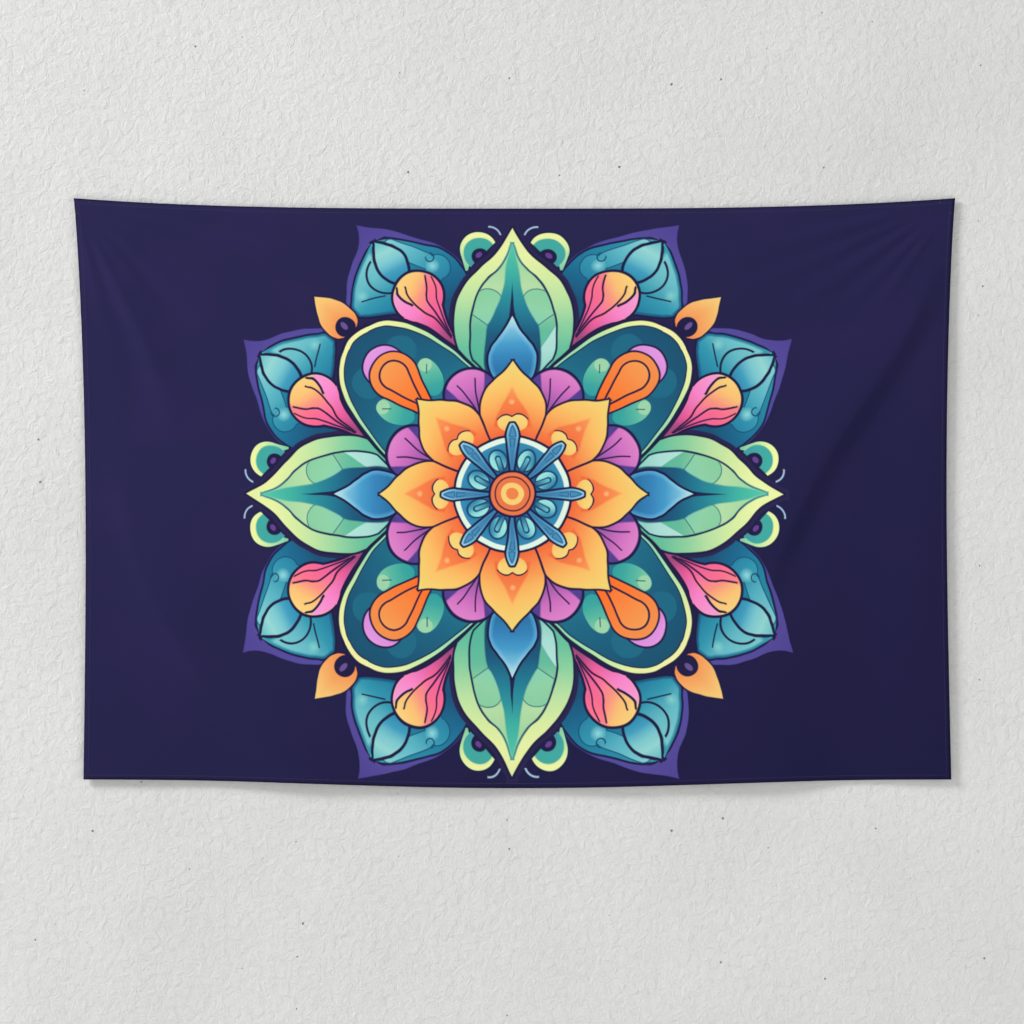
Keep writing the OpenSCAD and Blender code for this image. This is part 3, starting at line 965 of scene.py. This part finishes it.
def twillTape():
    material, tree, shader = newMaterial("twill_tape")
    spot = place(tree)
    apart = spot.node("SeparateXYZ", {}, {0: spot})
    x, z = apart, Wire(tree, apart.socket.node.outputs[2])
    ribs = ((x + z) * (2 * math.pi / tapeFinish["rib"])).math("SINE") * 0.5 + 0.5
    cross = ((x - z) * (2 * math.pi / tapeFinish["rib"] * 1.7)).math("SINE") * 0.5 + 0.5
    height = ribs * 0.75 + cross * 0.25
    soft = spot.node("TexNoise", {}, {0: spot, 2: 300.0, 3: 3.0, 4: 0.6})
    # painted shade: the tape is drawn darker in the grooves between its ribs and paler on their crowns
    tint = lay(lay(spot, 1.0, "c9c4b4"), height, "f1ede1")
    tint = lay(tint, soft.math("MULTIPLY_ADD", 1.2, -0.5, clamp=True), "dcd6c6")
    tree.links.new(tint.socket, shader.inputs["Base Color"])
    tree.links.new((height * -0.08 + 0.92).socket, shader.inputs["Roughness"])
    shader.inputs["Sheen Weight"].default_value = 0.15
    bumped(tree, shader, height, 0.0001)
    return material


def drawnSteel():
    material, tree, shader = newMaterial("drawn_steel")
    spot = place(tree)
    stretched = spot.node("Mapping", {}, {0: spot, 3: (9000.0, 300.0, 9000.0)})
    grain = stretched.node("TexNoise", {}, {0: stretched, 2: 1.0, 3: 4.0, 4: 0.6})
    tint = lay(lay(spot, 1.0, "b4b7bd"), grain, "d4d6da")
    tree.links.new(tint.socket, shader.inputs["Base Color"])
    tree.links.new((grain * 0.25 + 0.22).socket, shader.inputs["Roughness"])
    shader.inputs["Metallic"].default_value = 1.0
    bumped(tree, shader, grain, 0.00001)
    return material


def dress(piece, *materials):
    slots = piece.data.materials
    for i, material in enumerate(materials):
        if i < len(slots):
            slots[i] = material
        else:
            slots.append(material)


dress(printedCloth, clothFront(), clothBack())
print("print drawn")
hemMaterial, navyThread, tackThread, tapeMaterial, steel = hemCloth(), spunThread("hem_thread", "171436", "2c2858", 1.0), spunThread("tack_thread", "191638", "2f2b5c", -1.0), twillTape(), drawnSteel()
for piece in hems:
    dress(piece, hemMaterial)
for piece in stitching:
    dress(piece, navyThread)
for piece in loops:
    dress(piece, tapeMaterial)
for piece in tacks:
    dress(piece, tackThread)
for piece in pins:
    dress(piece, steel)
print("materials set")

# What each piece stands for: its stand-in from model.glb is hidden, the pins join the wall_pins body, and the other
# pieces keep their places

sides = ["top", "bottom", "left", "right"]
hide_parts("printed_panel")
for piece, side in zip(hems, sides):
    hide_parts("hem_" + side)
for piece, side in zip(stitching, sides):
    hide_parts("hem_stitching_" + side)
for piece, tack, pin, side in zip(loops, tacks, pins, ["left", "right"]):
    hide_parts("corner_loop_" + side)
    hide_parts("loop_tacks_" + side)
    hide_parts("wall_pin_" + side)
    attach(pin, "wall_pins")
for piece in [printedCloth, *hems, *stitching, *loops, *tacks]:
    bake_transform(piece)
print("pieces joined to the frame")

# Wall, floor, light and camera

room = {"wallWide": 9.0, "floor": -2.3, "plaster": "d2d2d1", "keyPower": 945.0, "fillPower": 60.0, "backPower": 130.0, "ambient": 0.3}

selectNone()
bpy.ops.mesh.primitive_plane_add(size=room["wallWide"], location=(0, 0, room["floor"] + room["wallWide"] / 2), rotation=(math.pi / 2, 0, 0))
wall = named("plaster_wall")
settle(wall)
bpy.ops.mesh.primitive_plane_add(size=14, location=(0, 0, room["floor"]))
floor = named("pale_floor")
settle(floor)


def plaster():  # skimmed wall: fine ripples from the float and a few small pits
    material, tree, shader = newMaterial("plaster")
    spot = place(tree)
    clouds = spot.node("TexNoise", {}, {0: spot, 2: 2.6, 3: 5.0, 4: 0.6})
    ripple = spot.node("TexNoise", {}, {0: spot, 2: 62.0, 3: 5.0, 4: 0.66, "Distortion": 0.7})
    grain = spot.node("TexNoise", {}, {0: spot, 2: 260.0, 3: 2.0, 4: 0.6})
    apart = spot.node("SeparateXYZ", {}, {0: spot})
    face = pair(apart, Wire(tree, apart.socket.node.outputs[2]))
    cells = face.node("TexVoronoi", {"voronoi_dimensions": "2D"}, {0: face, "Scale": 11.0})
    chosen = cells.node("SeparateColor", {}, {0: Wire(tree, cells.socket.node.outputs["Color"])})
    pits = (chosen * 0.07 - 0.044 - cells).math("MULTIPLY", 110.0, clamp=True)
    tint = lay(lay(spot, 1.0, room["plaster"]), clouds.math("MULTIPLY_ADD", 3.0, -1.2, clamp=True), "cbcbca")
    # painted shade: the troughs of the float ripples are drawn darker
    tint = lay(tint, ripple.math("MULTIPLY_ADD", -3.0, 1.3, clamp=True), "c2c2c1")
    # painted shade: the small pits are drawn dark inside
    tint = lay(tint, pits, "77756f")
    tree.links.new(tint.socket, shader.inputs["Base Color"])
    shader.inputs["Roughness"].default_value = 0.92
    bumped(tree, shader, clouds * 0.5 + ripple * 0.5 + grain * 0.07 - pits * 0.3, 0.0055)
    clear = tree.nodes.new("ShaderNodeBsdfTransparent")
    mix = tree.nodes.new("ShaderNodeMixShader")
    behind = tree.nodes.new("ShaderNodeNewGeometry")
    tree.links.new(behind.outputs["Backfacing"], mix.inputs[0])
    tree.links.new(shader.outputs[0], mix.inputs[1])
    tree.links.new(clear.outputs[0], mix.inputs[2])
    tree.links.new(mix.outputs[0], tree.nodes["Material Output"].inputs[0])
    return material


def floorPaint():
    material, tree, shader = newMaterial("floor_paint")
    spot = place(tree)
    soft = spot.node("TexNoise", {}, {0: spot, 2: 5.0, 3: 3.0, 4: 0.5})
    tint = lay(lay(spot, 1.0, "d9d8d5"), soft, "e2e1de")
    tree.links.new(tint.socket, shader.inputs["Base Color"])
    shader.inputs["Roughness"].default_value = 0.7
    return material


dress(wall, plaster())
dress(floor, floorPaint())
wall.visible_shadow = False


def areaLight(name, place_, aim, size, power):
    bpy.ops.object.light_add(type="AREA", location=place_)
    light = bpy.context.object
    light.name = name
    light.data.shape = "SQUARE"
    light.data.size = size
    light.data.energy = power
    light.rotation_euler = (Vector(aim) - Vector(place_)).to_track_quat("-Z", "Y").to_euler()
    return light


areaLight("key_light", (-6.5, -3.0, 4.7), (0, 0, -0.5), 2.2, room["keyPower"])
areaLight("fill_light", (3.2, -3.2, -0.2), (0, 0, -0.5), 3.0, room["fillPower"])
areaLight("back_light", (-1.6, 3.6, 1.6), (0, 0, -0.5), 3.0, room["backPower"])

world = bpy.data.worlds.new("studio")
bpy.context.scene.world = world
world.use_nodes = True
world.node_tree.nodes["Background"].inputs[0].default_value = (1.0, 1.0, 1.0, 1.0)
world.node_tree.nodes["Background"].inputs[1].default_value = room["ambient"]

viewpoint = {"away": 7.0, "x": -0.0043, "z": -0.5256, "seen": 1.7695}
bpy.ops.object.camera_add(location=(viewpoint["x"], -viewpoint["away"], viewpoint["z"]), rotation=(math.pi / 2, 0, 0))
camera = bpy.context.object
camera.data.sensor_width = 36.0
camera.data.lens = 36.0 * (viewpoint["away"] - 0.009) / viewpoint["seen"]
camera.data.clip_end = 60.0
bpy.context.scene.camera = camera
bpy.context.scene.view_settings.view_transform = "Standard"

print("ready")
